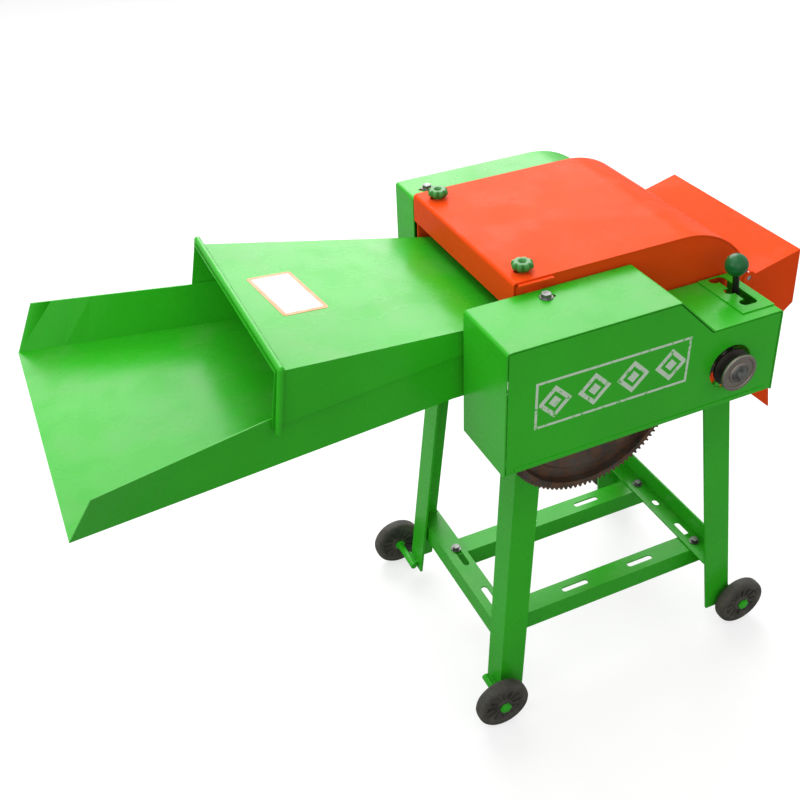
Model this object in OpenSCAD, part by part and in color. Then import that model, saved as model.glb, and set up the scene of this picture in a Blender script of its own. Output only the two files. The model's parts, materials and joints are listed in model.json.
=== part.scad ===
// Feed cutter: a sheet-metal trough feeds stalks between two toothed rollers, and a knife drum chops them.
// x runs from the feed table to the outlet, y across the machine with the gear cover at the near (minus) side,
// and z up from the floor. Lengths are millimetres.

/* [Housing and knife drum] */
// Height of the feed throat above the floor
deck_h = 640; // [600:5:680]
// Clear width between the two side plates
throat_w = 286; // [260:2:310]
// Thickness of the side plates
plate_t = 3; // [2:0.5:4]
// Radius swept by the knives
drum_r = 105; // [98:1:110]
// Thickness of a knife
knife_t = 6; // [4:0.5:8]
// Radius of the drive shaft
shaft_r = 12.5; // [10:0.5:15]
// Thickness of the bent sheet of the covers
sheet_t = 2; // [1.5:0.25:2.5]
// Outside radius of the bends in the covers and the lid
bend_r = 5; // [3:0.5:8]

/* [Feed table and hood] */
// Length of the open table in front of the housing
table_len = 584; // [520:2:640]
// Width of the table floor at its open end
table_end_w = 419; // [380:1:440]
// How far the floor rises towards the open end
table_rise = 17; // [0:1:30]
// Height of the table walls at the open end
table_wall_h = 62; // [45:1:70]
// Height of the table walls above the throat floor where the hood begins
hood_wall_h = 75; // [65:1:76]
// How far the walls lean outwards at the open end
table_flare = 17; // [0:1:25]
// Length of the hood over the table
hood_len = 325; // [280:5:360]
// Height of the hood above the throat floor at its mouth
hood_mouth_h = 135; // [120:1:150]
// Height of the hood above the throat floor at the rollers
hood_rear_h = 96; // [88:1:102]
// How far the foot of the hood's mouth stands out before its top
hood_mouth_lean = 14; // [0:1:20]
// Diameter of the round bar that stiffens the hood's mouth
hood_bar_d = 9; // [6:1:10]

/* [Rollers and gears] */
// Outside radius of the toothed feed rollers
roller_r = 32; // [28:1:34]
// Gap between the two rollers at rest
roller_gap = 8; // [6:1:12]
// Number of teeth along each roller's rim
roller_teeth = 12; // [8:1:16]
// How far the upper roller can rise
roller_lift = 16; // [8:1:18]
// Module of the drive gears
drive_module = 2.5; // [2.5:0.25:2.75]
// Teeth on the large gear
gear_teeth = 104; // [102:1:105]
// Teeth on the drive pinion
pinion_teeth = 41; // [38:1:41]
// Width of the drive gears
gear_w = 22; // [16:1:24]
// Teeth on each of the two gears that link the rollers
link_teeth = 18; // [16:1:20]

/* [Covers] */
// Depth of the gear cover
gear_cover_d = 109; // [107:1:120]
// Depth of the far cover
far_cover_d = 62; // [56:1:75]
// Radius of the hole round the input pulley
pulley_hole_r = 32; // [30:0.5:36]
// Radius of the input pulley
pulley_r = 27; // [22:0.5:28]

/* [Shift lever] */
// Diameter of the lever's rod
lever_d = 10; // [8:0.5:12]
// Diameter of the ball on the lever
lever_ball_d = 31; // [26:1:36]
// Swing of the lever to each side of neutral, in degrees
lever_swing = 21.5; // [16:0.5:22]
// Tilt of the lever into a notch, in degrees
lever_tilt = 6; // [4:0.5:6.5]

/* [Stand] */
// Width of each flange of the left legs' angle
leg_w = 42; // [36:1:46]
// Width of each flange of the right legs' angle
leg_right_w = 47; // [40:1:50]
// Thickness of the leg angle
leg_t = 4; // [3:0.5:5]
// How far each leg spreads sideways between the housing and its foot
leg_spread_y = 31; // [20:1:40]
// How far the left legs lean out between their tops and their feet
leg_lean_left = 34; // [10:1:40]
// How far the right legs lean out between their tops and their feet
leg_lean_right = 56; // [40:1:60]
// Width of the flanges of the cross beams and motor rails
rail_w = 36; // [32:1:40]
// Thickness of the cross beams and motor rails
rail_t = 3; // [2.5:0.5:4]
// Height of the top of the cross beams above the floor
beam_h = 144; // [120:2:180]
// Length of the slots in the motor rails
rail_slot_len = 50; // [40:1:56]
// Width of the slots in the motor rails
rail_slot_w = 10; // [9:0.5:12]
// Distance between the two slots of a motor rail
rail_slot_pitch = 130; // [110:2:150]
// Distance between the two motor rails
rail_pitch = 170; // [150:2:176]

/* [Wheels] */
// Radius of the wheels
wheel_r = 45; // [40:1:48]
// Width of the wheels
wheel_w = 22; // [18:1:26]
// Radius of the axle stubs
axle_r = 6; // [5:0.5:7]
// How far the axles sit outside the corners of the legs
axle_out = 9; // [8:1:14]
// Stub between the near left leg and its wheel
axle_gap_near_left = 13; // [4:1:20]
// Stub between the near right leg and its wheel
axle_gap_near_right = 4; // [4:1:20]
// Stub between a far leg and its wheel
axle_gap_far = 32; // [10:1:40]

/* [Hidden] */

$fn = 48;
cut = 0.5;            // extra length that lets a cut pass right through
running_gap = 0.05;   // radial gap of a shaft in its bearing
slide_gap = 0.3;      // gap between flat faces that slide

// Colours of the finishes
green = [0.24, 0.62, 0.18];
dark_green = [0.12, 0.42, 0.16];
orange = [0.93, 0.30, 0.12];
iron = [0.22, 0.20, 0.18];
steel = [0.62, 0.62, 0.60];
black = [0.14, 0.14, 0.13];

// Shaft centres, worked out from the throat and the gears
half_w = throat_w / 2;
outer_y = half_w + plate_t;
shaft_x = 336;
shaft_z = deck_h + 10;
roller_z = deck_h - roller_r;
drive_centres = drive_module * (gear_teeth + pinion_teeth) / 2;
drive_drop = shaft_z - roller_z;
roller_x = shaft_x - sqrt(drive_centres * drive_centres - drive_drop * drive_drop);
upper_z = roller_z + 2 * roller_r + roller_gap;
roller_shaft_r = shaft_r;
link_module = (upper_z - roller_z) / link_teeth;
drive_gear_r = drive_module * gear_teeth / 2;

// Lid and side plates: the lid is flat over the rollers and curves down over the drum
lid_cx = shaft_x - 9.5;
lid_cz = shaft_z + 8.5;
lid_r = drum_r + 24.5;
lid_top = lid_cz + lid_r;
lid_front_x = 71;
lid_flange_h = 42;
lid_end_angle = 19;
lid_half_w = outer_y + 0.5;
plate_x = lid_front_x + sheet_t + 2;
plate_low_z = deck_h - 148;
crossbar_w = 53;
crossbar_t = 3.5;
pin_r = 4;
knuckle_r = 7;
hinge_x = lid_cx + lid_r * cos(lid_end_angle) + 2;
hinge_z = lid_cz + lid_r * sin(lid_end_angle) - 6;
knuckle_len = 30;
knuckle_y = 112;

// Hand knobs that hold the lid down
knob_x = 98;
knob_y = half_w - 22;
knob_r = 15;
knob_h = 13;
knob_stem_r = 4;
knob_slot_len = 24;
knob_slot_w = 10;

// Knife drum
spider_y = 95;
spider_t = 12;
spider_arm_w = 24;
spider_arm_r = drum_r - 17;
spider_hub_r = shaft_r + 21;
knife_len = throat_w - 16;
knife_inner_r = drum_r - 45;
knife_count = 3;
drum_angle = 70;
bed_gap = 1.5;
bed_t = 6;
bed_x0 = roller_x + roller_r + 3;
bed_x1 = shaft_x - drum_r - bed_gap;
bed_beam_h = 30;
bed_beam_t = 5;

// Trough under the drum, outlet lip and outlet hood
trough_r = drum_r + 6;
trough_start = 192;
trough_end = 310;
lip_end_x = 545;
lip_end_z = deck_h - 203;
lip_flange_h = 46;
outlet_x0 = hinge_x + knuckle_r + 2.5;
outlet_x1 = 538;
outlet_z0 = hinge_z + 3.3;
outlet_z1 = outlet_z0 + 19.5;
outlet_low_x = 544.5;
outlet_low_z = outlet_z1 - 88.5;

// Feed table and hood
table_end_x = lid_front_x + 1.5 - table_len;
throat_x = -10.6;
table_floor_end_x = roller_x - roller_r - 5;
table_half_w = half_w;
throat_wall_h = 70;
liner_h = 60;
skirt_h = 64;
skirt_t = 1.5;
skirt_gap = 1.7;
hood_mouth_x = lid_front_x + 4 - hood_len;
hood_rear_x = lid_front_x + 36;
hood_at_x = 5;
hood_inset = 2.3;
hood_foot_x = hood_mouth_x - hood_mouth_lean;
wall_top_x = table_end_x + 34;
flare_end_x = hood_foot_x - 2;
taper = (table_end_w / 2 - table_half_w) / (throat_x - table_end_x);
hood_slope = (hood_mouth_h - hood_rear_h) / (hood_at_x - hood_mouth_x);
function table_half(x) = table_half_w + taper * max(throat_x - x, 0);
function floor_z(x) = deck_h + table_rise * max(throat_x - x, 0) / (throat_x - table_end_x);
function hood_half(x) = table_half_w - hood_inset + taper * (throat_x - x);
function hood_z(x) = deck_h + hood_rear_h - hood_slope * (x - hood_at_x);

// Gear cover, its front plate and the shift gate
gc_x0 = roller_x - drive_gear_r - 30;
gc_x1 = shaft_x + 74;
gc_top = lid_top - 15.5;
gc_low_top = shaft_z + 65;
gc_bottom = shaft_z - 63;
gc_slope_x0 = shaft_x - 93;
gc_slope_x1 = gc_slope_x0 + gc_top - gc_low_top;
gc_back_y = -(outer_y + 4.5);
gc_front_y = gc_back_y - gear_cover_d;
gc_seam = 1.2;
gate_x = shaft_x + 51;
gate_t = 2;
gate_channel_w = lever_d + 4;
gate_notch = 11;
gate_margin = 13;

// Far cover: flat top with a large rounded end
fc_x0 = lid_front_x + 1;
fc_cx = shaft_x - 36;
fc_r = drum_r + 29;
fc_top = lid_top - 8;
fc_cz = fc_top - fc_r;
fc_bottom = shaft_z - 60;
fc_back_y = outer_y + 5.5;
fc_front_y = fc_back_y + far_cover_d;

// Gears stand outside the plates, past the bearings
bearing_len = 12;
lever_arm = 14;
block_y1 = outer_y + 18;
bearing_r = shaft_r + 15;
sleeve_len = 18;
sleeve_r = shaft_r + 13.5;
sleeve_groove_r = shaft_r + 7;
sleeve_groove_w = 8.8;
sleeve_travel = lever_arm * lever_swing * PI / 180;
sleeve_y = outer_y + bearing_len + 1.5 + sleeve_travel + sleeve_len / 2;
gear_y0 = sleeve_y + sleeve_len / 2 + sleeve_travel + 1.5;
gear_y1 = gear_y0 + gear_w;
link_y0 = block_y1 + 4;
link_w = 18;
shaft_end_far = outer_y + bearing_len + 8;
pulley_w = 21;
pulley_y0 = -gc_front_y - 1;
pulley_y1 = pulley_y0 + pulley_w;
pulley_bolt_h = 6;

// Shift lever: it pivots between the pinion and the cover's wall, leans back through the gate,
// and its shoe pin runs in the sleeve's groove
yoke_x1 = gc_x1 - 3.4;
yoke_x0 = yoke_x1 - 12;
lever_x = yoke_x0 + 5;
lever_y = sleeve_y + 18;
lever_pivot_z = shaft_z - lever_arm;
lever_lean = atan((lever_x - gate_x) / (gc_low_top + gate_t - lever_pivot_z));
lever_reach = (gc_low_top + 40.5 - lever_pivot_z) / cos(lever_lean);
lever_neck = 40;
lever_socket = lever_ball_d / 2 - 6;
gate_reach = (gc_low_top + gate_t - lever_pivot_z) * tan(lever_swing);
shoe_r = 2.5;
yoke_w = 14;
yoke_cheek = 3;
pivot_pin_r = 3;
pivot_gap = 0.5;
pivot_plate_t = 3.5;

// Upper roller's sliding blocks and their springs
block_w = 40;
block_h = 38;
block_y0 = half_w - 4;
window_w = block_w + 2 * slide_gap;
spring_r = 8;
spring_len = 36;
spring_wall = 3;
bracket_t = 5;

// Stand
foot_z = 34;
leg_top = deck_h - 100;
leg_bend_z = plate_low_z - 4;
leg_seat_y = half_w;
leg_bolt_drop = 124;
leg_foot_left_x = 53;
leg_foot_right_x = 516;
axle_z = wheel_r;
bolt_r = 4;
beam_slot_w = 11;
rail_slot_x = 297;
rail_near_y = -107;
rail_bolt_in = 5.5;
nut_h = 6;
axle_nut_h = 3.5;
wheel_left_x = leg_foot_left_x - axle_out;
wheel_right_x = leg_foot_right_x + axle_out;
leg_foot_y = leg_seat_y + leg_spread_y;
function wheel_y(left, side) = leg_foot_y + (side > 0 ? axle_gap_far : left ? axle_gap_near_left
    : axle_gap_near_right);
axle_tail = 5;

// The origin is on the floor under the middle of the whole machine
x_mid = (table_end_x + max(outlet_low_x, wheel_right_x + wheel_r)) / 2;
y_mid = (leg_foot_y + axle_gap_far + wheel_w + axle_tail - (pulley_y1 + pulley_bolt_h)) / 2;
module place() {
    translate([-x_mid, -y_mid, 0]) children();
}

// Extrudes an outline drawn in x and z from y0 to y1
module across(y0, y1) {
    translate([0, y1, 0]) rotate([90, 0, 0]) linear_extrude(y1 - y0) children();
}

// A round bar along y from y0 to y1
module bar_y(x, z, r, y0, y1) {
    translate([x, y1, z]) rotate([90, 0, 0]) cylinder(r = r, h = y1 - y0);
}

function unit(v) = v / norm(v);
function left_normal(a, b) = let (d = unit(b - a)) [-d[1], d[0]];
function arc_points(cx, cz, r, a0, a1, n) =
    [for (i = [0:n]) let (a = a0 + (a1 - a0) * i / n) [cx + r * cos(a), cz + r * sin(a)]];

// The second side of a bent sheet: each bend is mitred
function offset_path(p, t) = [for (i = [0:len(p) - 1])
    let (n0 = left_normal(p[max(i - 1, 0)], p[max(i, 1)]),
        n1 = left_normal(p[min(i, len(p) - 2)], p[min(i + 1, len(p) - 1)]))
    p[i] + t * (n0 + n1) / (1 + n0 * n1)];
// The same path with each corner between its ends turned round an arc of radius r
function turn_to(a0, a1) = a0 + ((a1 - a0) % 360 + 540) % 360 - 180;
function corner_arc(a, b, c, r, n) = let (u = unit(a - b), v = unit(c - b), half = acos(u * v) / 2,
    mid = b + unit(u + v) * r / sin(half), s = b + u * r / tan(half), e = b + v * r / tan(half),
    a0 = atan2(s[1] - mid[1], s[0] - mid[0]), a1 = turn_to(a0, atan2(e[1] - mid[1], e[0] - mid[0])))
    arc_points(mid[0], mid[1], r, a0, a1, n);
function rounded(p, r, n = 5) = [p[0], for (i = [1:len(p) - 2]) each corner_arc(p[i - 1], p[i], p[i + 1], r, n),
    p[len(p) - 1]];
function reversed(p) = [for (i = [len(p) - 1:-1:0]) p[i]];
module bent_sheet(path, t, y0, y1) {
    across(y0, y1) polygon(concat(path, reversed(offset_path(path, t))));
}

// A sheet ruled between two rows of points, with its thickness along one direction
module ruled_sheet(low, high, thick) {
    n = len(low);
    rows = concat(low, high, [for (p = low) p + thick], [for (p = high) p + thick]);
    sides = [for (i = [0:n - 2]) each [[i, i + 1, n + i + 1], [i, n + i + 1, n + i],
        [2 * n + i, 3 * n + i + 1, 2 * n + i + 1], [2 * n + i, 3 * n + i, 3 * n + i + 1],
        [i, 2 * n + i + 1, i + 1], [i, 2 * n + i, 2 * n + i + 1],
        [n + i, n + i + 1, 3 * n + i + 1], [n + i, 3 * n + i + 1, 3 * n + i]]];
    ends = [[0, n, 3 * n], [0, 3 * n, 2 * n], [n - 1, 4 * n - 1, 2 * n - 1], [n - 1, 3 * n - 1, 4 * n - 1]];
    polyhedron(points = rows, faces = concat(sides, ends));
}
function mix(a, b, k) = a + (b - a) * k;

// A round rod between two points
module rod(a, b, r) {
    v = b - a;
    translate(a) rotate([0, acos(v[2] / norm(v)), atan2(v[1], v[0])]) cylinder(r = r, h = norm(v));
}

// A slot with round ends, cut along z and long in x
module slot_x(len, w, h) {
    cube([len - w, w, h], center = true);
    for (s = [-1, 1]) translate([s * (len - w) / 2, 0, 0]) cylinder(d = w, h = h, center = true);
}
module hex_bolt(r, head_h, shank) {
    cylinder(r = 1.8 * r, h = head_h, $fn = 6);
    translate([0, 0, -shank]) cylinder(r = r, h = shank);
}

// Straight-flanked gear teeth, thin enough to leave backlash
function gear_outline(z, m, turn) = let (r = m * z / 2, p = 360 / z)
    [for (i = [0:z - 1]) each [for (q = [[-0.30, -1.2], [-0.13, 0.85], [0.13, 0.85], [0.30, -1.2]])
        let (a = turn + (i + q[0]) * p, k = r + q[1] * m) [k * cos(a), k * sin(a)]]];
module gear(x, z, m, teeth, turn, y0, y1) {
    translate([x, 0, z]) across(y0, y1) polygon(gear_outline(teeth, m, turn));
}
drive_angle = atan2(shaft_z - roller_z, shaft_x - roller_x);

// Side plates
plate_outline = concat(
    [[plate_x, plate_low_z], [plate_x, lid_top - sheet_t - crossbar_t - 0.45],
        [plate_x + crossbar_w, lid_top - sheet_t - crossbar_t - 0.45],
        [plate_x + crossbar_w, lid_top - sheet_t - 0.4], [lid_cx, lid_top - sheet_t - 0.4]],
    arc_points(lid_cx, lid_cz, lid_r - sheet_t - 0.4, 88, lid_end_angle - 2, 24),
    [[hinge_x + 4, hinge_z - 5], [outlet_x0 - 0.1, hinge_z - 5], [outlet_x0 - 0.1, shaft_z - 40],
        [shaft_x + 105, deck_h - 105],
        [shaft_x + 99, deck_h - 137], [shaft_x + 124, deck_h - 158], [shaft_x + 102, deck_h - 160],
            [shaft_x + 71, deck_h - 133],
        [shaft_x + 46, deck_h - 133], [shaft_x + 20, plate_low_z]]);
module side_plate(side) {
    y0 = side < 0 ? -outer_y : half_w;
    color(orange) difference() {
        union() {
            across(y0, y0 + plate_t) polygon(plate_outline);
            bar_y(hinge_x, hinge_z, pin_r + 1.8, y0, y0 + plate_t);
            // Tab that takes the cover's bolt
            translate([knob_x - 8, side < 0 ? -outer_y - 38 : outer_y - cut, cover_tab_z(side)])
                cube([22, 38 + cut, 3]);
        }
        bar_y(shaft_x, shaft_z, shaft_r + 2, y0 - cut, y0 + plate_t + cut);
        bar_y(roller_x, roller_z, roller_shaft_r + 2, y0 - cut, y0 + plate_t + cut);
        bar_y(hinge_x, hinge_z, pin_r, y0 - cut, y0 + plate_t + cut);
        translate([roller_x - window_w / 2, y0 - cut, upper_z - block_h / 2 - slide_gap])
            cube([window_w, plate_t + 2 * cut, block_h + roller_lift + 2 * slide_gap + 1]);
        for (p = leg_bolt_places) bar_y(p[0], p[1], bolt_r, y0 - cut, y0 + plate_t + cut);
        translate([cover_bolt_x, side * cover_bolt_y(side), cover_tab_z(side) - cut])
            cylinder(r = bolt_r, h = 3 + 2 * cut);
    }
}
function cover_tab_z(side) = (side < 0 ? gc_top : fc_top) - sheet_t - 3;
cover_bolt_x = knob_x + 6;
function cover_bolt_y(side) = outer_y + 25;
leg_bolt_places = [for (z = [deck_h - leg_bolt_drop + 12, deck_h - leg_bolt_drop - 12])
    [leg_foot_left_x + leg_lean_left + leg_w / 2, z], [shaft_x + 88, deck_h - leg_bolt_drop + 6]];

// Trough under the drum
module rotor_trough() {
    path = concat(arc_points(shaft_x, shaft_z, trough_r, trough_start, trough_end, 32));
    color(orange) bent_sheet(path, -sheet_t, -half_w, half_w);
}

// Sloping lip below the outlet, with a flange on each side
weld_r = (trough_r + sheet_t) / cos(5);
lip_root = [shaft_x + weld_r * cos(trough_end - 10), shaft_z + weld_r * sin(trough_end - 10)];
lip_start = [shaft_x + (trough_r + sheet_t) * cos(trough_end),
    shaft_z + (trough_r + sheet_t) * sin(trough_end)];
module outlet_lip() {
    end = [lip_end_x, lip_end_z];
    along = unit(end - lip_start);
    up = [-along[1], along[0]];
    lip_half_w = half_w - 0.2;
    flange = [lip_start + 34 * along, end, end + lip_flange_h * [-0.22, 1],
        lip_start + 34 * along + lip_flange_h * up];
    color(orange) {
        bent_sheet([lip_root, lip_start, end], -sheet_t, -lip_half_w, lip_half_w);
        for (s = [-1, 1]) across(s < 0 ? -lip_half_w : lip_half_w - sheet_t,
            s < 0 ? -lip_half_w + sheet_t : lip_half_w)
            polygon(flange);
    }
}

// Hood over the outlet: a rising top plate and two side walls
module outlet_hood() {
    top = [[outlet_x0, outlet_z0], [outlet_x1, outlet_z1]];
    wall = [[outlet_x0, outlet_z0 - sheet_t], [outlet_x1, outlet_z1 - cut], [outlet_low_x, outlet_low_z],
        [outlet_low_x - 36, outlet_low_z - 32], [outlet_x0 + 1, outlet_low_z - 52]];
    color(orange) {
        bent_sheet(top, -sheet_t, -outer_y, outer_y);
        for (s = [-1, 1]) across(s < 0 ? -outer_y : outer_y - sheet_t, s < 0 ? -outer_y + sheet_t : outer_y)
            polygon(wall);
    }
}

// Feed table: a tapering floor that runs on between the side plates, and a wall along each side. The walls lean
// out at the open end and stand upright from the hood's mouth on.
module table_wall() {
    end_w = table_end_w / 2;
    foot_end = [table_end_x, end_w, floor_z(table_end_x) - sheet_t];
    top_end = [wall_top_x, end_w + table_flare, floor_z(wall_top_x) + table_wall_h];
    foot_mouth = [flare_end_x, table_half(flare_end_x), floor_z(flare_end_x) - sheet_t];
    top_mouth = [flare_end_x, table_half(flare_end_x), deck_h + hood_wall_h];
    steps = [0:8];
    ruled_sheet(
        concat([for (k = steps) mix(foot_end, foot_mouth, k / 8)],
            [[throat_x, table_half_w, deck_h - sheet_t], [table_floor_end_x, table_half_w, deck_h - sheet_t]]),
        concat([for (k = steps) mix(top_end, top_mouth, k / 8)],
            [[throat_x, table_half_w, deck_h + throat_wall_h],
                [table_floor_end_x, table_half_w, deck_h + liner_h]]),
        [0, -sheet_t, 0]);
}
module feed_table() {
    stations = [table_end_x, throat_x, table_floor_end_x];
    color(green) {
        ruled_sheet([for (x = stations) [x, table_half(x), floor_z(x)]],
            [for (x = stations) [x, -table_half(x), floor_z(x)]],
            [0, 0, -sheet_t]);
        table_wall();
        mirror([0, 1, 0]) table_wall();
    }
}

// Hood over the table: a falling top plate and two skirts outside the table's walls
module hood_skirt() {
    high = [for (x = [lid_front_x, throat_x, hood_mouth_x]) [x, hood_half(x), hood_z(x) - sheet_t / 2]];
    low = [for (x = [lid_front_x, throat_x, hood_foot_x]) [x, table_half(x) + skirt_gap, deck_h + skirt_h]];
    ruled_sheet(low, high, [0, skirt_t, 0]);
}
module feed_hood() {
    ends = [hood_mouth_x, hood_rear_x];
    color(green) {
        ruled_sheet([for (x = ends) [x, hood_half(x) + skirt_t, hood_z(x)]],
            [for (x = ends) [x, -hood_half(x) - skirt_t, hood_z(x)]], [0, 0, -sheet_t]);
        hood_skirt();
        mirror([0, 1, 0]) hood_skirt();
    }
}

// Round bar bent over the hood just behind its mouth
module hood_edge_bar() {
    r = hood_bar_d / 2;
    x = hood_mouth_x + r + 2;
    foot_x = hood_foot_x + r + 2;
    corner = [x, hood_half(x) + skirt_t + r + 0.3, hood_z(x) + r + 0.3];
    foot = [foot_x, table_half(foot_x) + skirt_gap + skirt_t + r + 0.4, deck_h + skirt_h - 7];
    color(green) {
        bar_y(corner[0], corner[2], r, -corner[1], corner[1]);
        for (s = [-1, 1]) {
            rod([foot[0], s * foot[1], foot[2]], [corner[0], s * corner[1], corner[2]], r);
            translate([corner[0], s * corner[1], corner[2]]) sphere(r = r + 0.15);
        }
    }
}

// Strip across the plates that the lid rests on
module lid_crossbar() {
    z = lid_top - sheet_t - 0.35 - crossbar_t;
    color(orange) difference() {
        translate([plate_x + 2, -outer_y - 6, z]) cube([crossbar_w - 3, 2 * outer_y + 12, crossbar_t]);
        for (s = [-1, 1]) translate([knob_x, s * knob_y, z]) slot_x(knob_slot_len, knob_slot_w, 4 * crossbar_t);
    }
}
module lid_hinge_pin() {
    color(steel) bar_y(hinge_x, hinge_z, pin_r, -outer_y - 1, outer_y + 1);
}

// Gear cover: one bent sheet round the gears and a front plate set inside it
gear_cover_path = rounded([[gc_x0, gc_bottom], [gc_x0, gc_top], [gc_slope_x0, gc_top],
    [gc_slope_x1, gc_low_top], [gc_x1, gc_low_top], [gc_x1 + 7, gc_bottom]], bend_r);
function gate_channel_y(k) = -lever_y + k * gate_reach;
module gear_cover() {
    window_w2 = gate_channel_w + gate_notch + 8;
    color(green) difference() {
        union() {
            bent_sheet(gear_cover_path, -sheet_t, gc_front_y, gc_back_y);
            translate([gc_x0 + sheet_t / 2, gc_front_y + sheet_t, gc_bottom])
                cube([gc_x1 - gc_x0 + 4, 10, sheet_t]);
        }
        translate([cover_bolt_x, -cover_bolt_y(-1), gc_top])
            cylinder(r = bolt_r + 0.4, h = 4 * sheet_t, center = true);
        translate([cover_bolt_x + 9, -cover_bolt_y(-1), gc_top])
            cylinder(r = bolt_r, h = 4 * sheet_t, center = true);
        translate([gate_x - gate_notch - gate_channel_w / 2 - 4, gate_channel_y(-1) - gate_channel_w / 2 - 3,
            gc_low_top - 2 * sheet_t])
            cube([window_w2, 2 * gate_reach + gate_channel_w + 6, 4 * sheet_t]);
    }
}
module gear_cover_front() {
    inner = offset_path(gear_cover_path, -sheet_t - gc_seam);
    last = len(inner) - 1;
    outline = concat([[inner[0][0], gc_bottom + sheet_t + 1]], [for (i = [1:last - 1]) inner[i]],
        [[inner[last][0], gc_bottom + sheet_t + 1]]);
    color(green) difference() {
        across(gc_front_y, gc_front_y + sheet_t) polygon(outline);
        bar_y(shaft_x, shaft_z, pulley_hole_r, gc_front_y - cut, gc_front_y + sheet_t + cut);
    }
}

// Gate with a channel and three notches that guide the lever
module shift_gate() {
    w = gate_channel_w;
    reach = gate_reach;
    x0 = gate_x - gate_notch - w / 2 - gate_margin;
    x1 = min(gate_x + w / 2 + gate_margin, gc_x1 - 1);
    y0 = gate_channel_y(-1) - w / 2 - 14;
    y1 = min(gate_channel_y(1) + w / 2 + 8, gc_back_y - 1);
    color(green) difference() {
        translate([x0, y0, gc_low_top]) cube([x1 - x0, y1 - y0, gate_t]);
        translate([gate_x, -lever_y, gc_low_top]) rotate([0, 0, 90]) slot_x(2 * reach + w, w, 4 * gate_t);
        for (k = [-1, 0, 1])
            translate([gate_x - gate_notch / 2, gate_channel_y(k), gc_low_top])
                slot_x(gate_notch + w, w, 4 * gate_t);
    }
}

// Far cover over the gears that link the rollers
far_cover_path = concat(rounded([[fc_x0, fc_bottom], [fc_x0, fc_top], [fc_cx, fc_top]], bend_r),
    arc_points(fc_cx, fc_cz, fc_r, 87, 3, 24), [[fc_cx + fc_r, fc_cz - 4], [fc_cx + fc_r, fc_bottom]]);
module far_cover() {
    color(green) difference() {
        bent_sheet(far_cover_path, -sheet_t, fc_back_y, fc_front_y);
        translate([cover_bolt_x, cover_bolt_y(1), fc_top])
            cylinder(r = bolt_r + 0.4, h = 4 * sheet_t, center = true);
        translate([cover_bolt_x - 9, cover_bolt_y(1), fc_top])
            cylinder(r = bolt_r, h = 4 * sheet_t, center = true);
    }
}
module far_cover_front() {
    inner = offset_path(far_cover_path, -sheet_t);
    color(green) across(fc_front_y - sheet_t, fc_front_y) polygon(inner);
}

// A leg is an angle that leans from its foot up to a bend, and stands straight against its side plate above it
function lean_per_mm(left) = (left ? leg_lean_left : -leg_lean_right) / (leg_bend_z - foot_z);
function leg_foot_x(left) = left ? leg_foot_left_x : leg_foot_right_x;
function leg_corner_x(left, z) = leg_foot_x(left) + lean_per_mm(left) * (min(z, leg_bend_z) - foot_z);
spread_per_mm = leg_spread_y / (leg_bend_z - foot_z);
function leg_corner_y(z) = leg_foot_y - spread_per_mm * (min(z, leg_bend_z) - foot_z);
module leg(left, near) {
    sx = left ? 1 : -1;
    sy = near ? 1 : -1;
    w = left ? leg_w : leg_right_w;
    outline = [[0, 0], [w, 0], [w, leg_t], [leg_t, leg_t], [leg_t, w], [0, w]];
    seen = [for (p = outline) [sx * p[0], sy * p[1]]];
    color(green) difference() {
        union() {
            intersection() {
                translate([leg_foot_x(left), -sy * leg_foot_y, foot_z])
                    rotate([-sy * atan(spread_per_mm), atan(lean_per_mm(left)), 0]) translate([0, 0, -40])
                    linear_extrude(leg_top - foot_z + 90) polygon(seen);
                translate([-100, -400, foot_z]) cube([800, 800, leg_bend_z - foot_z]);
            }
            translate([leg_corner_x(left, leg_bend_z), -sy * leg_seat_y, leg_bend_z - 0.01])
                linear_extrude(leg_top - leg_bend_z) polygon(seen);
        }
        if (!left) across(-400, 400) polygon([lip_start + [-30, 22], lip_start + [200, 22 - 213],
            lip_start + [200, 200],
            lip_start + [-30, 200]]);
        for (p = leg_bolt_places) bar_y(p[0], p[1], bolt_r, near ? -outer_y - 20 : 100,
            near ? -100 : outer_y + 20);
    }
}

// Cross beams between a near and a far leg: the left one hangs its flange, the right one stands it up
beam_half = leg_corner_y(beam_h) - leg_t + 0.2;
beam_left_x = leg_corner_x(true, beam_h) + leg_t + 4;
beam_right_x = leg_corner_x(false, beam_h) - leg_t - 8.4;
left_slot_x = beam_left_x + rail_w - 15;
right_slot_x = beam_right_x - rail_w / 2;
function beam_slots(left) = left ? [[39, 52], [-65.5, 45]] : [[1, 16], [-81, 44]];
module cross_beam(left) {
    x0 = left ? beam_left_x : beam_right_x - rail_w;
    slot_at = left ? left_slot_x : right_slot_x;
    color(green) difference() {
        union() {
            translate([x0, -beam_half, beam_h - rail_t]) cube([rail_w, 2 * beam_half, rail_t]);
            translate([left ? x0 : beam_right_x - rail_t, -beam_half, left ? beam_h - rail_w : beam_h - rail_t])
                cube([rail_t, 2 * beam_half, rail_w]);
        }
        for (slot = beam_slots(left)) translate([slot_at, slot[0], beam_h]) rotate([0, 0, 90])
            slot_x(slot[1], beam_slot_w, 4 * rail_t);
        for (y = [rail_near_y, rail_far_y]) translate([slot_at, y - rail_bolt_in, beam_h])
            cylinder(r = bolt_r + 0.4, h = 4 * rail_t, center = true);
    }
}

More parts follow.
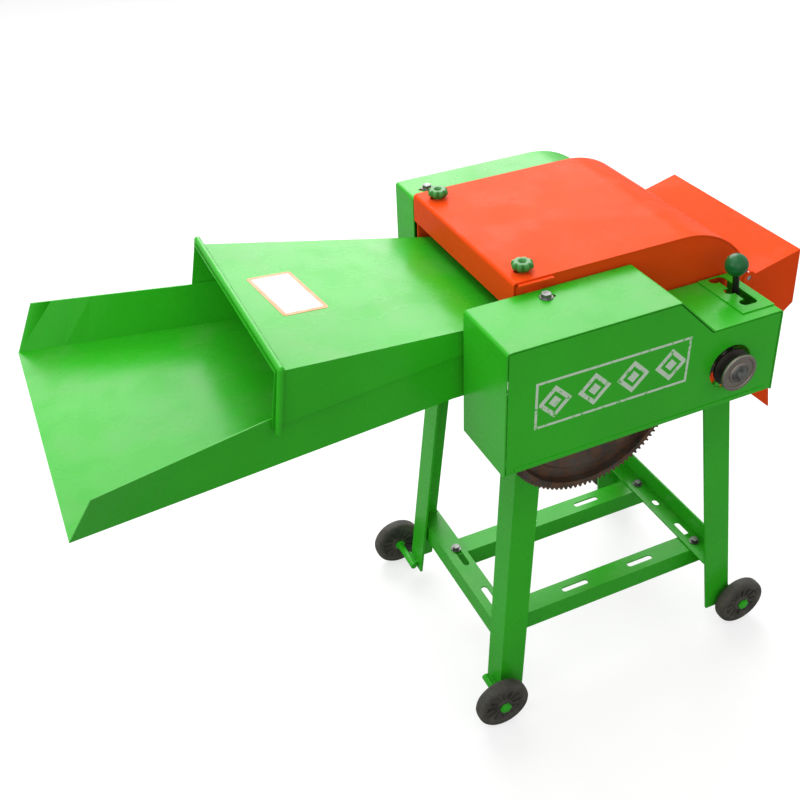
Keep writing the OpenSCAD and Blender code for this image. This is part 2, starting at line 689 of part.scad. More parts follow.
// Motor rails lie under the beams and can slide along the beams' slots
rail_top = beam_h - rail_t - 0.1;
rail_far_y = rail_near_y + rail_pitch;
module motor_rail(y) {
    x0 = beam_left_x + rail_t + 1.5;
    x1 = beam_right_x - 1;
    y0 = y - rail_w / 2;
    color(green) difference() {
        union() {
            translate([x0, y0, rail_top - rail_t]) cube([x1 - x0, rail_w, rail_t]);
            translate([x0, y0, rail_top - rail_w]) cube([x1 - x0, rail_t, rail_w]);
        }
        for (s = [-1, 1]) translate([rail_slot_x + s * rail_slot_pitch / 2, y, rail_top])
            slot_x(rail_slot_len, rail_slot_w, 4 * rail_t);
        for (x = [left_slot_x, right_slot_x]) translate([x, y - rail_bolt_in, rail_top])
            cylinder(r = bolt_r + 0.1, h = 4 * rail_t, center = true);
    }
}
module rail_bolts() {
    color(steel) for (x = [left_slot_x, right_slot_x], y = [rail_near_y, rail_far_y])
        translate([x, y - rail_bolt_in, beam_h]) {
        cylinder(r = 9, h = 1.5);
        translate([0, 0, 1.5]) cylinder(r = 6.5, h = 5, $fn = 6);
        translate([0, 0, -rail_t * 2 - nut_h - 3]) cylinder(r = bolt_r, h = rail_t * 2 + nut_h + 4);
        translate([0, 0, -rail_t * 2 - 0.2 - nut_h]) cylinder(r = 6.5, h = nut_h, $fn = 6);
    }
}
module leg_bolts() {
    color(green) for (p = leg_bolt_places, s = [-1, 1]) translate([p[0], s * outer_y, p[1]])
        rotate([-s * 90, 0, 0]) hex_bolt(bolt_r - 0.1, 5, plate_t + leg_t + 5);
}
module cover_bolts() {
    color(steel) for (s = [-1, 1]) translate([cover_bolt_x, s * cover_bolt_y(s), s < 0 ? gc_top : fc_top]) {
        cylinder(r = 9, h = 1.4);
        translate([0, 0, 1.4]) hex_bolt(bolt_r - 0.1, 5, 12);
    }
}

// Axle stubs welded outside the legs' corners, each with a nut past its wheel
module wheel_axle(left, side) {
    x = left ? wheel_left_x : wheel_right_x;
    hub_y = wheel_y(left, side);
    root_y = leg_foot_y - leg_w * 0.8;
    end_y = hub_y + wheel_w + axle_tail;
    nut_y = hub_y + wheel_w + 0.5;
    bar_y(x, axle_z, axle_r, side < 0 ? -end_y : root_y, side < 0 ? -root_y : end_y);
    bar_y(x, axle_z, axle_r + 4, side < 0 ? -nut_y - axle_nut_h : nut_y,
        side < 0 ? -nut_y : nut_y + axle_nut_h, $fn = 6);
    bar_y(x, axle_z, axle_r + 3, side < 0 ? 1 - hub_y : hub_y - 3, side < 0 ? 3 - hub_y : hub_y - 1);
    translate([left ? x : x - axle_out - 3, side < 0 ? 4 - leg_foot_y : leg_foot_y - 30, axle_z - 5])
        cube([axle_out + 3, 26, 10]);
}
module wheel_axles() {
    color(green) for (side = [-1, 1], left = [true, false]) wheel_axle(left, side);
}

// A moulded wheel: hub, thin web with ribs, and a rounded rim
module wheel(left, side) {
    x = left ? wheel_left_x : wheel_right_x;
    y0 = side < 0 ? -wheel_y(left, side) - wheel_w : wheel_y(left, side);
    w = wheel_w;
    r = wheel_r;
    bore = axle_r + 0.08;
    profile = [[bore, 0], [bore + 7, 0], [bore + 7, w * 0.22], [r * 0.72, w * 0.22], [r * 0.74, 1], [r - 5, 0],
        [r - 1.5, 2], [r, 5], [r, w - 5], [r - 1.5, w - 2], [r - 5, w], [r * 0.74, w - 1], [r * 0.72, w * 0.78],
        [bore + 7, w * 0.78], [bore + 7, w], [bore, w]];
    color(black) translate([x, y0 + w, axle_z]) rotate([90, 0, 0]) {
        rotate_extrude($fn = 72) polygon(profile);
        for (i = [0:5]) rotate([0, 0, i * 60]) translate([bore + 6, -1.5, w * 0.08])
            cube([r * 0.72 - bore - 5, 3, w * 0.84]);
    }
}

// Bed knife on its beam: the knives shear against its edge
module bed_knife() {
    color(steel) across(-half_w + 0.2, half_w - 0.2)
        polygon([[bed_x0, deck_h - bed_t], [bed_x1 - 3, deck_h - bed_t], [bed_x1, deck_h], [bed_x0, deck_h]]);
}
module bed_knife_beam() {
    color(orange) {
        translate([bed_x0, -half_w, deck_h - bed_t - bed_beam_t])
            cube([bed_x1 - bed_x0 - 5, throat_w, bed_beam_t]);
        translate([bed_x0, -half_w, deck_h - bed_t - bed_beam_h]) cube([bed_beam_t, throat_w, bed_beam_h]);
    }
}

// Flanged bearings on the outside of the plates
module bearing(x, z, r, side) {
    y0 = side < 0 ? -outer_y - bearing_len : outer_y;
    difference() {
        union() {
            bar_y(x, z, bearing_r, y0, y0 + bearing_len);
            bar_y(x, z, bearing_r + 9, side < 0 ? -outer_y - 6 : outer_y, side < 0 ? -outer_y : outer_y + 6);
        }
        bar_y(x, z, r + running_gap, y0 - cut, y0 + bearing_len + cut);
    }
}
module main_bearings() {
    color(iron) for (s = [-1, 1]) bearing(shaft_x, shaft_z, shaft_r, s);
}
module roller_bearings() {
    color(iron) for (s = [-1, 1]) difference() {
        bearing(roller_x, roller_z, roller_shaft_r, s);
        translate([roller_x - 60, s < 0 ? -outer_y - 40 : outer_y - cut, upper_z - block_h / 2 - 2.5])
            cube([120, 40 + cut, 80]);
    }
}

// Blocks that carry the upper roller, their springs, and the brackets that the springs push against
module upper_bearing_blocks() {
    color(iron) for (s = [-1, 1]) difference() {
        translate([roller_x - block_w / 2, s < 0 ? -block_y1 : block_y0, upper_z - block_h / 2])
            cube([block_w, block_y1 - block_y0, block_h]);
        bar_y(roller_x, upper_z, roller_shaft_r + running_gap, s < 0 ? -block_y1 - cut : block_y0 - cut,
            s < 0 ? -block_y0 + cut : block_y1 + cut);
    }
}
spring_y = outer_y + spring_r + 1.5;
module pressure_springs() {
    color(steel) for (s = [-1, 1]) translate([roller_x, s * spring_y, upper_z + block_h / 2]) difference() {
        cylinder(r = spring_r, h = spring_len);
        translate([0, 0, -cut]) cylinder(r = spring_r - spring_wall, h = spring_len + 2 * cut);
    }
}
module spring_brackets() {
    z = upper_z + block_h / 2 + spring_len;
    color(orange) for (s = [-1, 1]) difference() {
        union() {
            translate([roller_x - 16, s < 0 ? -outer_y - 20 : outer_y, z]) cube([32, 20, bracket_t]);
            translate([roller_x - 16, s < 0 ? -outer_y - 4 : outer_y, z]) cube([32, 4, 16]);
        }
    }
}

// Drive shaft, spiders and knives
module main_shaft() {
    color(steel) bar_y(shaft_x, shaft_z, shaft_r, -pulley_y1, shaft_end_far);
}
module rotor_spiders() {
    color(iron) for (y = [-spider_y, spider_y]) difference() {
        translate([shaft_x, 0, shaft_z]) across(y - spider_t / 2, y + spider_t / 2) difference() {
            union() {
                circle(r = spider_hub_r);
                for (k = [0:knife_count - 1]) rotate(drum_angle + k * 120)
                    translate([spider_hub_r / 2, -spider_arm_w / 2])
                        square([spider_arm_r - spider_hub_r / 2, spider_arm_w]);
            }
            circle(r = shaft_r);
        }
        for (k = [0:knife_count - 1]) translate([shaft_x, y, shaft_z]) rotate([0, -drum_angle - k * 120, 0])
            translate([knife_inner_r + 15, 0, -spider_arm_w / 2 - cut])
                cylinder(r = bolt_r, h = spider_arm_w + 2 * cut);
    }
}
module knives() {
    face = spider_arm_w / 2;
    tip = sqrt(drum_r * drum_r - face * face);
    color(steel) for (k = [0:knife_count - 1]) translate([shaft_x, 0, shaft_z])
        rotate([0, -drum_angle - k * 120, 0])
        difference() {
            across(-knife_len / 2, knife_len / 2)
                polygon([[knife_inner_r, face], [tip, face], [tip - knife_t * 1.2, face + knife_t],
                    [knife_inner_r, face + knife_t]]);
            for (y = [-spider_y, spider_y]) translate([knife_inner_r + 15, y, face - cut])
                cylinder(r = bolt_r, h = knife_t + 2 * cut);
        }
}
module knife_bolts() {
    face = spider_arm_w / 2;
    color(steel) for (k = [0:knife_count - 1], y = [-spider_y, spider_y])
        translate([shaft_x, y, shaft_z]) rotate([0, -drum_angle - k * 120, 0])
            translate([knife_inner_r + 15, 0, face + knife_t])
                hex_bolt(bolt_r - 0.1, 5, knife_t + spider_arm_w + 4);
}

// Small grooved pulley on the near end of the drive shaft
module input_pulley() {
    r = pulley_r;
    w = pulley_w;
    profile = [[shaft_r, 0], [r - 1, 0], [r, 1], [r, 4], [r - 7, 8], [r - 7, w - 8], [r, w - 4],
        [r, w - 1], [r - 1, w],
        [shaft_r, w]];
    color(steel) translate([shaft_x, -pulley_y0, shaft_z]) rotate([90, 0, 0]) rotate_extrude($fn = 72)
        polygon(profile);
}
module pulley_bolt() {
    color(steel) {
        bar_y(shaft_x, shaft_z, 12, -pulley_y1 - 2, -pulley_y1);
        bar_y(shaft_x, shaft_z, 7, -pulley_y1 - pulley_bolt_h, -pulley_y1 - 2, $fn = 6);
    }
}

// Sleeve that the lever slides along the shaft to clutch the pinion
module clutch_sleeve() {
    r = sleeve_r;
    l = sleeve_len;
    g = sleeve_groove_w;
    bore = shaft_r + running_gap;
    profile = [[bore, 0], [r - 5, 0], [r, 5], [r, (l - g) / 2], [sleeve_groove_r, (l - g) / 2],
        [sleeve_groove_r, (l + g) / 2], [r, (l + g) / 2], [r, l], [bore, l]];
    color(steel) translate([shaft_x, -sleeve_y + l / 2, shaft_z]) rotate([90, 0, 0]) rotate_extrude()
        polygon(profile);
}
module drive_pinion() {
    color(iron) difference() {
        gear(shaft_x, shaft_z, drive_module, pinion_teeth, drive_angle + 180 + 180 / pinion_teeth,
            -gear_y1, -gear_y0);
        bar_y(shaft_x, shaft_z, shaft_r + running_gap, -gear_y1 - cut, -gear_y0 + cut);
    }
}

// Toothed feed rollers
function star(n, r0, r1) = [for (i = [0:n - 1]) each [for (q = [[-0.30, r0], [-0.12, r1], [0.12, r1],
    [0.30, r0]])
    let (a = (i + q[0]) * 360 / n) [q[1] * cos(a), q[1] * sin(a)]]];
module feed_roller(z) {
    reach = half_w - 6;
    color(iron) difference() {
        translate([roller_x, 0, z]) across(-reach, reach) polygon(star(roller_teeth, roller_r - 7, roller_r));
        bar_y(roller_x, z, roller_shaft_r, -reach - cut, reach + cut);
    }
}
module lower_roller() {
    feed_roller(roller_z);
}
module lower_roller_shaft() {
    color(steel) bar_y(roller_x, roller_z, roller_shaft_r, -gear_y1 - 6, link_y0 + link_w + 3);
}

// Large gear: toothed rim, dished web with a step, and a hub
module big_gear() {
    r = drive_gear_r;
    w = gear_w;
    hub = roller_shaft_r + 16;
    color(iron) difference() {
        gear(roller_x, roller_z, drive_module, gear_teeth, drive_angle, -gear_y1, -gear_y0);
        translate([roller_x, -gear_y0, roller_z]) rotate([90, 0, 0]) rotate_extrude($fn = 96)
            polygon([[hub, w * 0.62], [r - 30, w * 0.62], [r - 27, w * 0.5], [r - 12, w * 0.5],
                [r - 10, w + cut], [hub, w + cut]]);
        bar_y(roller_x, roller_z, roller_shaft_r, -gear_y1 - cut, -gear_y0 + cut);
    }
}
module link_gear(z, turn) {
    color(iron) difference() {
        gear(roller_x, z, link_module, link_teeth, turn, link_y0, link_y0 + link_w);
        bar_y(roller_x, z, roller_shaft_r, link_y0 - cut, link_y0 + link_w + cut);
    }
}
module upper_roller() {
    feed_roller(upper_z);
}
module upper_roller_shaft() {
    color(steel) bar_y(roller_x, upper_z, roller_shaft_r, -block_y1 + 1, link_y0 + link_w + 3);
}

// Lid: one bent sheet with a front flange, two knob slots and two hinge knuckles
lid_path = concat(rounded([[lid_front_x, lid_top - lid_flange_h], [lid_front_x, lid_top], [lid_cx, lid_top]],
    bend_r),
    arc_points(lid_cx, lid_cz, lid_r, 88, lid_end_angle, 34));
module lid() {
    color(orange) difference() {
        union() {
            bent_sheet(lid_path, -sheet_t, -lid_half_w, lid_half_w);
            for (s = [-1, 1]) bar_y(hinge_x, hinge_z, knuckle_r, s * knuckle_y - knuckle_len / 2,
                s * knuckle_y + knuckle_len / 2);
        }
        for (s = [-1, 1]) {
            translate([knob_x, s * knob_y, lid_top]) slot_x(knob_slot_len, knob_slot_w, 4 * sheet_t);
        }
        bar_y(hinge_x, hinge_z, pin_r + running_gap, -outer_y - 2, outer_y + 2);
    }
}
module lid_knob(s) {
    color(dark_green) translate([knob_x, s * knob_y, lid_top]) {
        difference() {
            rotate_extrude() polygon([[0, 0.2], [8, 0.2], [8, 3], [knob_r - 2, 4], [knob_r, 6],
                [knob_r, knob_h - 2],
                [knob_r - 2, knob_h], [6, knob_h], [5, knob_h - 3], [0, knob_h - 3]]);
            for (i = [0:7]) rotate([0, 0, i * 45]) translate([knob_r + 2, 0, -cut])
                cylinder(r = 4.2, h = knob_h + 2 * cut, $fn = 24);
        }
        translate([0, 0, -11]) cylinder(r = knob_stem_r, h = 12);
    }
}

// Lever: the yoke swings in the bracket and moves the sleeve, and the rod tilts in the yoke into a notch
module lever_bracket() {
    arm_y = lever_y + 9;
    x = yoke_x1 + pivot_gap;
    color(iron) difference() {
        union() {
            translate([x, -arm_y, lever_pivot_z - 8]) cube([pivot_plate_t, arm_y - outer_y, 16]);
            translate([x, -outer_y - 4, lever_pivot_z - 22]) cube([16, 4, 44]);
        }
        translate([x - cut, -lever_y, lever_pivot_z]) rotate([0, 90, 0])
            cylinder(r = pivot_pin_r + running_gap, h = pivot_plate_t + 2 * cut);
    }
}
module lever_yoke() {
    y0 = -lever_y - yoke_w / 2;
    arm_w = 9;
    color(iron) {
        difference() {
            translate([yoke_x0, y0, lever_pivot_z - 8]) cube([yoke_x1 - yoke_x0, yoke_w, 18]);
            translate([yoke_x0 - cut, y0 + yoke_cheek, lever_pivot_z - 8 - cut])
                cube([yoke_x1 - yoke_x0 - 1.5, yoke_w - 2 * yoke_cheek, 18 + 2 * cut]);
            bar_y(lever_x, lever_pivot_z, 2.5 + running_gap, y0 - cut, y0 + yoke_w + cut);
        }
        translate([yoke_x1 - 0.01, -lever_y, lever_pivot_z]) rotate([0, 90, 0])
            cylinder(r = pivot_pin_r, h = pivot_gap + pivot_plate_t + 0.4);
        translate([yoke_x0 + 1, y0 + yoke_w - 0.01, shaft_z - 6])
            cube([arm_w, lever_y - yoke_w / 2 - sleeve_y + 6, 12]);
        translate([shaft_x + sleeve_groove_r + 2.5, -sleeve_y, shaft_z]) rotate([0, 90, 0])
            cylinder(r = shoe_r, h = yoke_x0 - shaft_x - sleeve_groove_r - 1);
        translate([yoke_x0 + 1, y0 + yoke_w - yoke_cheek, lever_pivot_z + 8])
            cube([arm_w, yoke_cheek, lever_arm - 2]);
    }
}
module shift_lever() {
    eye_w = yoke_w - 2 * yoke_cheek - 0.6;
    color(black) translate([lever_x, -lever_y, lever_pivot_z]) {
        bar_y(0, 0, 2.5, -yoke_w / 2, yoke_w / 2);
        bar_y(0, 0, 4.2, -eye_w / 2, eye_w / 2);
        rotate([0, -lever_lean, 0]) {
            cylinder(d = eye_w - 1, h = lever_neck + 1);
            translate([0, 0, lever_neck]) cylinder(d = lever_d - 1,
                h = lever_reach - lever_socket - lever_neck);
        }
    }
}
module lever_ball() {
    color(dark_green) translate([lever_x, -lever_y, lever_pivot_z]) rotate([0, -lever_lean, 0])
        translate([0, 0, lever_reach])
        difference() {
            sphere(d = lever_ball_d);
            translate([0, 0, -lever_ball_d]) cylinder(d = lever_d - 1, h = lever_ball_d - lever_socket);
        }
}

place() {
    side_plate(-1);  // side_plate_near
    side_plate(1);  // side_plate_far
    rotor_trough();
    outlet_lip();
    outlet_hood();
    feed_table();
    feed_hood();
    hood_edge_bar();
    lid_crossbar();
    lid_hinge_pin();
    gear_cover();
    gear_cover_front();
    shift_gate();
    far_cover();
    far_cover_front();
    leg(true, true);  // leg_near_left
    leg(false, true);  // leg_near_right
    leg(true, false);  // leg_far_left
    leg(false, false);  // leg_far_right
    cross_beam(true);  // cross_beam_left
    cross_beam(false);  // cross_beam_right
    motor_rail(rail_near_y);  // motor_rail_near
    motor_rail(rail_far_y);  // motor_rail_far
    rail_bolts();
    leg_bolts();
    cover_bolts();
    wheel_axles();
    bed_knife();
    bed_knife_beam();
    main_bearings();
    roller_bearings();
    spring_brackets();
    lever_bracket();
    main_shaft();
    rotor_spiders();
    knives();
    knife_bolts();
    input_pulley();
    pulley_bolt();
    clutch_sleeve();
    drive_pinion();
    lower_roller();
    lower_roller_shaft();
    big_gear();
    link_gear(roller_z, 90);  // lower_link_gear
    upper_bearing_blocks();
    pressure_springs();
    upper_roller();
    upper_roller_shaft();
    link_gear(upper_z, 270 + 180 / link_teeth);  // upper_link_gear
    lid();
    lid_knob(-1);  // lid_knob_near
    lid_knob(1);  // lid_knob_far
    lever_yoke();
    shift_lever();
    lever_ball();
    wheel(true, -1);  // wheel_near_left
    wheel(false, -1);  // wheel_near_right
    wheel(true, 1);  // wheel_far_left
    wheel(false, 1);  // wheel_far_right
}
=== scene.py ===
# %% [markdown]
# # A feed cutter in sheet metal
# This lesson dresses a small farm machine: a trough feeds stalks between two rollers, and a knife drum chops them.
# The measured model comes first and stays where it is. Every piece made here is laid over it, in metres.

# %% Load the measured frame
import json
import math
import random

import bmesh
import bpy
from mathutils import Matrix, Vector

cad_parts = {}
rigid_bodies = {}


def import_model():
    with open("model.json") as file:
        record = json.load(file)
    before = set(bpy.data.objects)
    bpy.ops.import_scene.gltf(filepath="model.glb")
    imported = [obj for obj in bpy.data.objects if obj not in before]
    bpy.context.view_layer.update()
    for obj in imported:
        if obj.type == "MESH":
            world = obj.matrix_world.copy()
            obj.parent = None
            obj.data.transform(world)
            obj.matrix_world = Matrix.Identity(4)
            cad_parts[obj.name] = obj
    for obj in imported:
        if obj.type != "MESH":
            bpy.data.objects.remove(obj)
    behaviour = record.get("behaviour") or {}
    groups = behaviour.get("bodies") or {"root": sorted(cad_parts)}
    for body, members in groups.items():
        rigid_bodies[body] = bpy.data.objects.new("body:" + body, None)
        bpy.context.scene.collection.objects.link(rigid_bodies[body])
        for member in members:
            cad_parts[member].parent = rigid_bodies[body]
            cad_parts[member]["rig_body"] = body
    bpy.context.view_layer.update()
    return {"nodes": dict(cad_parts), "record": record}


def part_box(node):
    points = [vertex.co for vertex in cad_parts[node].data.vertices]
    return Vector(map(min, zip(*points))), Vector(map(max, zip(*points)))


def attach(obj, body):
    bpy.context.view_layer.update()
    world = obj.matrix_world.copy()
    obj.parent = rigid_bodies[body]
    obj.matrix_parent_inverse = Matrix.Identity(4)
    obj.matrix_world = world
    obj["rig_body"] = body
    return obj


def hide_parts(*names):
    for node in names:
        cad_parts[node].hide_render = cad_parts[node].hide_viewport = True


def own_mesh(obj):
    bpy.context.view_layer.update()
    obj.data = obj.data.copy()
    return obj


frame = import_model()
nodes = frame["nodes"]
scene = bpy.context.scene
slot_of = {part["node"]: part["material_slot"] for part in frame["record"]["subparts"]}

# %% [markdown]
# ## The camera
# The photograph was taken from above the operator's side, close enough for strong perspective. A camera could be
# pointed with a constraint, but a matrix built from three angles is exact and stays put.

# %% Camera
camera_place = Vector((-0.51315, -1.07115, 1.4219))
camera_turn = math.radians(-22.6135)
camera_rise = math.radians(36.3466)
camera_roll = math.radians(-2.7836)
focal_length = 45.77

back = Vector((
    math.sin(camera_turn) * math.cos(camera_rise),
    -math.cos(camera_turn) * math.cos(camera_rise),
    math.sin(camera_rise),
))
level = Vector((0, 0, 1)).cross(back).normalized()
upright = back.cross(level)
right = math.cos(camera_roll) * level + math.sin(camera_roll) * upright
upward = -math.sin(camera_roll) * level + math.cos(camera_roll) * upright
camera = bpy.data.objects.new("camera", bpy.data.cameras.new("camera"))
camera.data.lens = focal_length
camera.data.sensor_width = 36
camera.matrix_world = Matrix.Translation(camera_place) @ Matrix((right, upward, back)).transposed().to_4x4()
scene.collection.objects.link(camera)
scene.camera = camera
print("camera stands", round(camera_place.length, 2), "m from the origin")

# %% [markdown]
# ## A pale studio
# A product photograph has soft light from all round and a white ground. The world is plain: dim for what it lights,
# and white where the camera or a reflection sees it. Four wide lamps give direction, and the floor only has to catch
# the shadow.

# %% Floor, world and lamps
scene.view_settings.view_transform = "Standard"


def link(tree, source, target):
    tree.links.new(source, target)


def add_lamp(name, place, size, power):
    lamp = bpy.data.objects.new(name, bpy.data.lights.new(name, "AREA"))
    lamp.data.shape = "DISK"
    lamp.data.size = size
    lamp.data.energy = power
    lamp.location = place
    lamp.rotation_euler = (Vector(place) - Vector((0, 0, 0.5))).to_track_quat("Z", "Y").to_euler()
    scene.collection.objects.link(lamp)
    return lamp


add_lamp("lamp_over", (-0.7, 0.2, 2.9), 2.2, 18)
add_lamp("lamp_behind", (0.9, 2.7, 2.6), 3.4, 120)
add_lamp("lamp_front", (-1.0, -2.8, 1.7), 2.0, 10)
add_lamp("lamp_side", (-2.8, -0.4, 1.6), 1.8, 16)

WORLD_LIGHT, WORLD_SEEN = 0.28, 1.0
world = bpy.data.worlds.new("studio")
scene.world = world
world.use_nodes = True
tree = world.node_tree
background = tree.nodes["Background"]
ray = tree.nodes.new("ShaderNodeLightPath")
lit = None
for kind in ("Is Camera Ray", "Is Glossy Ray", "Is Transmission Ray"):
    either = tree.nodes.new("ShaderNodeMath")
    either.operation = "MAXIMUM"
    link(tree, ray.outputs[kind], either.inputs[0])
    if lit is not None:
        link(tree, lit.outputs[0], either.inputs[1])
    lit = either
shown = tree.nodes.new("ShaderNodeMix")
shown.inputs["A"].default_value = WORLD_LIGHT
shown.inputs["B"].default_value = WORLD_SEEN
link(tree, lit.outputs[0], shown.inputs["Factor"])
background.inputs["Color"].default_value = (1, 1, 1, 1)
link(tree, shown.outputs[0], background.inputs["Strength"])

FLOOR_GLOW = 0.66
ground = bmesh.new()
bmesh.ops.create_grid(ground, x_segments=1, y_segments=1, size=30)
ground_mesh = bpy.data.meshes.new("floor")
ground.to_mesh(ground_mesh)
ground.free()
floor = bpy.data.objects.new("floor", ground_mesh)
scene.collection.objects.link(floor)
floor_paint = bpy.data.materials.new("floor_paint")
floor_paint.use_nodes = True
tree = floor_paint.node_tree
shader = tree.nodes["Principled BSDF"]
shader.inputs["Base Color"].default_value = (0.38, 0.38, 0.38, 1)
shader.inputs["Roughness"].default_value = 0.9
shader.inputs["Emission Color"].default_value = (1, 1, 1, 1)
ray = tree.nodes.new("ShaderNodeLightPath")
glow = tree.nodes.new("ShaderNodeMath")
glow.operation = "MULTIPLY"
glow.inputs[1].default_value = FLOOR_GLOW
link(tree, ray.outputs["Is Camera Ray"], glow.inputs[0])
link(tree, glow.outputs[0], shader.inputs["Emission Strength"])
floor.data.materials.append(floor_paint)

# %% [markdown]
# ## Node helpers
# Every finish below is a small graph. These helpers add one node each, so that a finish reads like a recipe:
# where the pattern lies, what it looks like, and which socket it drives.

# %% Helpers for finishes
MM = 0.001


class Finish:
    """A material's graph and its Principled shader."""

    def __init__(self, name, roughness=0.4, metallic=0.0):
        self.material = bpy.data.materials.new(name)
        self.material.use_nodes = True
        self.tree = self.material.node_tree
        self.shader = self.tree.nodes["Principled BSDF"]
        self.shader.inputs["Roughness"].default_value = roughness
        self.shader.inputs["Metallic"].default_value = metallic
        self.place = self.tree.nodes.new("ShaderNodeTexCoord").outputs["Object"]

    def node(self, kind, **inputs):
        made = self.tree.nodes.new(kind)
        for key, value in inputs.items():
            socket = made.inputs[key.replace("_", " ")] if isinstance(key, str) else made.inputs[key]
            self.feed(value, socket)
        return made

    def feed(self, value, socket):
        if isinstance(value, bpy.types.NodeSocket):
            self.tree.links.new(value, socket)
        else:
            socket.default_value = value

    def mapped(self, scale=(1, 1, 1), turn=(0, 0, 0), move=(0, 0, 0)):
        made = self.node("ShaderNodeMapping", Vector=self.place)
        made.inputs["Scale"].default_value = scale
        made.inputs["Rotation"].default_value = turn
        made.inputs["Location"].default_value = move
        return made.outputs[0]

    def noise(self, scale, detail=4.0, roughness=0.55, vector=None):
        made = self.node("ShaderNodeTexNoise", Scale=scale, Detail=detail, Roughness=roughness)
        self.feed(vector if vector is not None else self.place, made.inputs["Vector"])
        return made.outputs["Fac"]

    def ramp(self, value, low, high, start=0.0, end=1.0):
        made = self.tree.nodes.new("ShaderNodeMapRange")
        made.interpolation_type = "SMOOTHSTEP"
        for socket, item in zip(made.inputs, (value, low, high, start, end)):
            self.feed(item, socket)
        return made.outputs[0]

    def math(self, operation, *values):
        made = self.tree.nodes.new("ShaderNodeMath")
        made.operation = operation
        for socket, item in zip(made.inputs, values):
            self.feed(item, socket)
        return made.outputs[0]

    def blend(self, factor, first, second, mode="MIX"):
        made = self.tree.nodes.new("ShaderNodeMix")
        made.data_type = "RGBA"
        made.blend_type = mode
        self.feed(factor, made.inputs["Factor"])
        for value, socket in ((first, made.inputs[6]), (second, made.inputs[7])):
            self.feed(value if isinstance(value, bpy.types.NodeSocket) else (*value, 1), socket)
        return made.outputs[2]

    def axes(self, source=None):
        split = self.tree.nodes.new("ShaderNodeSeparateXYZ")
        self.feed(source if source is not None else self.place, split.inputs[0])
        return split.outputs

    def facing_up(self):
        return self.axes(self.tree.nodes.new("ShaderNodeNewGeometry").outputs["Normal"])["Z"]

    def bump(self, height, strength, distance):
        made = self.node("ShaderNodeBump", Height=height)
        made.inputs["Strength"].default_value = strength
        made.inputs["Distance"].default_value = distance
        self.tree.links.new(made.outputs[0], self.shader.inputs["Normal"])

    def set(self, **inputs):
        for key, value in inputs.items():
            if isinstance(value, tuple):
                value = (*value, 1)
            self.feed(value, self.shader.inputs[key.replace("_", " ")])
        return self.material


# %% [markdown]
# ## Enamel paint
# The sheets are sprayed with cheap glossy enamel: strong colour, a slight orange peel, a little dust on what faces
# up, rubbed spots and hairline scratches. One function makes both colours, so that they age alike.

# %% Enamel in green and orange
GREEN = (0.030, 0.46, 0.014)
ORANGE = (0.88, 0.074, 0.008)


def enamel(name, colour, shine=0.2, mark=None):
    paint = Finish(name, roughness=0.3)
    deep = tuple(0.86 * c for c in colour)
    pale = tuple(min(1.0, 0.85 * c + 0.06) for c in colour)
    drift = paint.noise(4.0, 3.0)
    body = paint.blend(paint.ramp(drift, 0.35, 0.75), colour, deep)
    rubbed = paint.ramp(paint.noise(46.0, 6.0, 0.7), 0.55, 0.85, 0.0, 0.16)
    body = paint.blend(rubbed, body, pale)
    strokes = paint.noise(1.0, 2.0, 0.5, paint.mapped(scale=(14, 900, 420), turn=(0.3, 0.5, 0.2)))
    scratch = paint.math("MULTIPLY", paint.ramp(strokes, 0.72, 0.77), paint.ramp(drift, 0.5, 0.6))
    body = paint.blend(paint.math("MULTIPLY", scratch, 0.3), body, pale)
    chip = paint.ramp(paint.noise(120.0, 5.0, 0.65), 0.735, 0.75, 0.0, 0.85)
    body = paint.blend(chip, body, (0.16, 0.12, 0.09))
    dust = paint.math("MULTIPLY", paint.ramp(paint.facing_up(), 0.5, 0.95),
                      paint.ramp(paint.noise(16.0, 8.0), 0.45, 0.75, 0.0, 0.07))
    body = paint.blend(dust, body, (0.55, 0.50, 0.40))
    if mark is not None:
        body = mark(paint, body)
    peel = paint.noise(330.0, 2.0)
    wave = paint.math("MULTIPLY", paint.noise(9.0, 1.0), 6.0)
    paint.bump(paint.math("ADD", peel, wave), 0.09, 0.0006)
    gloss = paint.ramp(paint.noise(20.0, 5.0), 0.3, 0.8, 0.22, 0.36)
    return paint.set(Base_Color=body, Roughness=gloss, Specular_IOR_Level=shine)


green_enamel = enamel("green_enamel", GREEN)
orange_enamel = enamel("orange_enamel", ORANGE, shine=0.02)

# %% [markdown]
# ## Stencilled frame
# The cover's front has a white stencilled frame. Here it holds four plain diamonds. The stencil isn't a separate
# piece but paint, so it is drawn in the material: a distance to the frame and to each diamond, cut by worn spots.

# %% White stencil on the gear cover
X_MIDDLE, Y_MIDDLE = 29.25, -26.25


def at(x, y, z):
    """A place in the machine's millimetres, from the drive side, as a point of the scene."""
    return Vector(((x - X_MIDDLE) * MM, (y - Y_MIDDLE) * MM, z * MM))


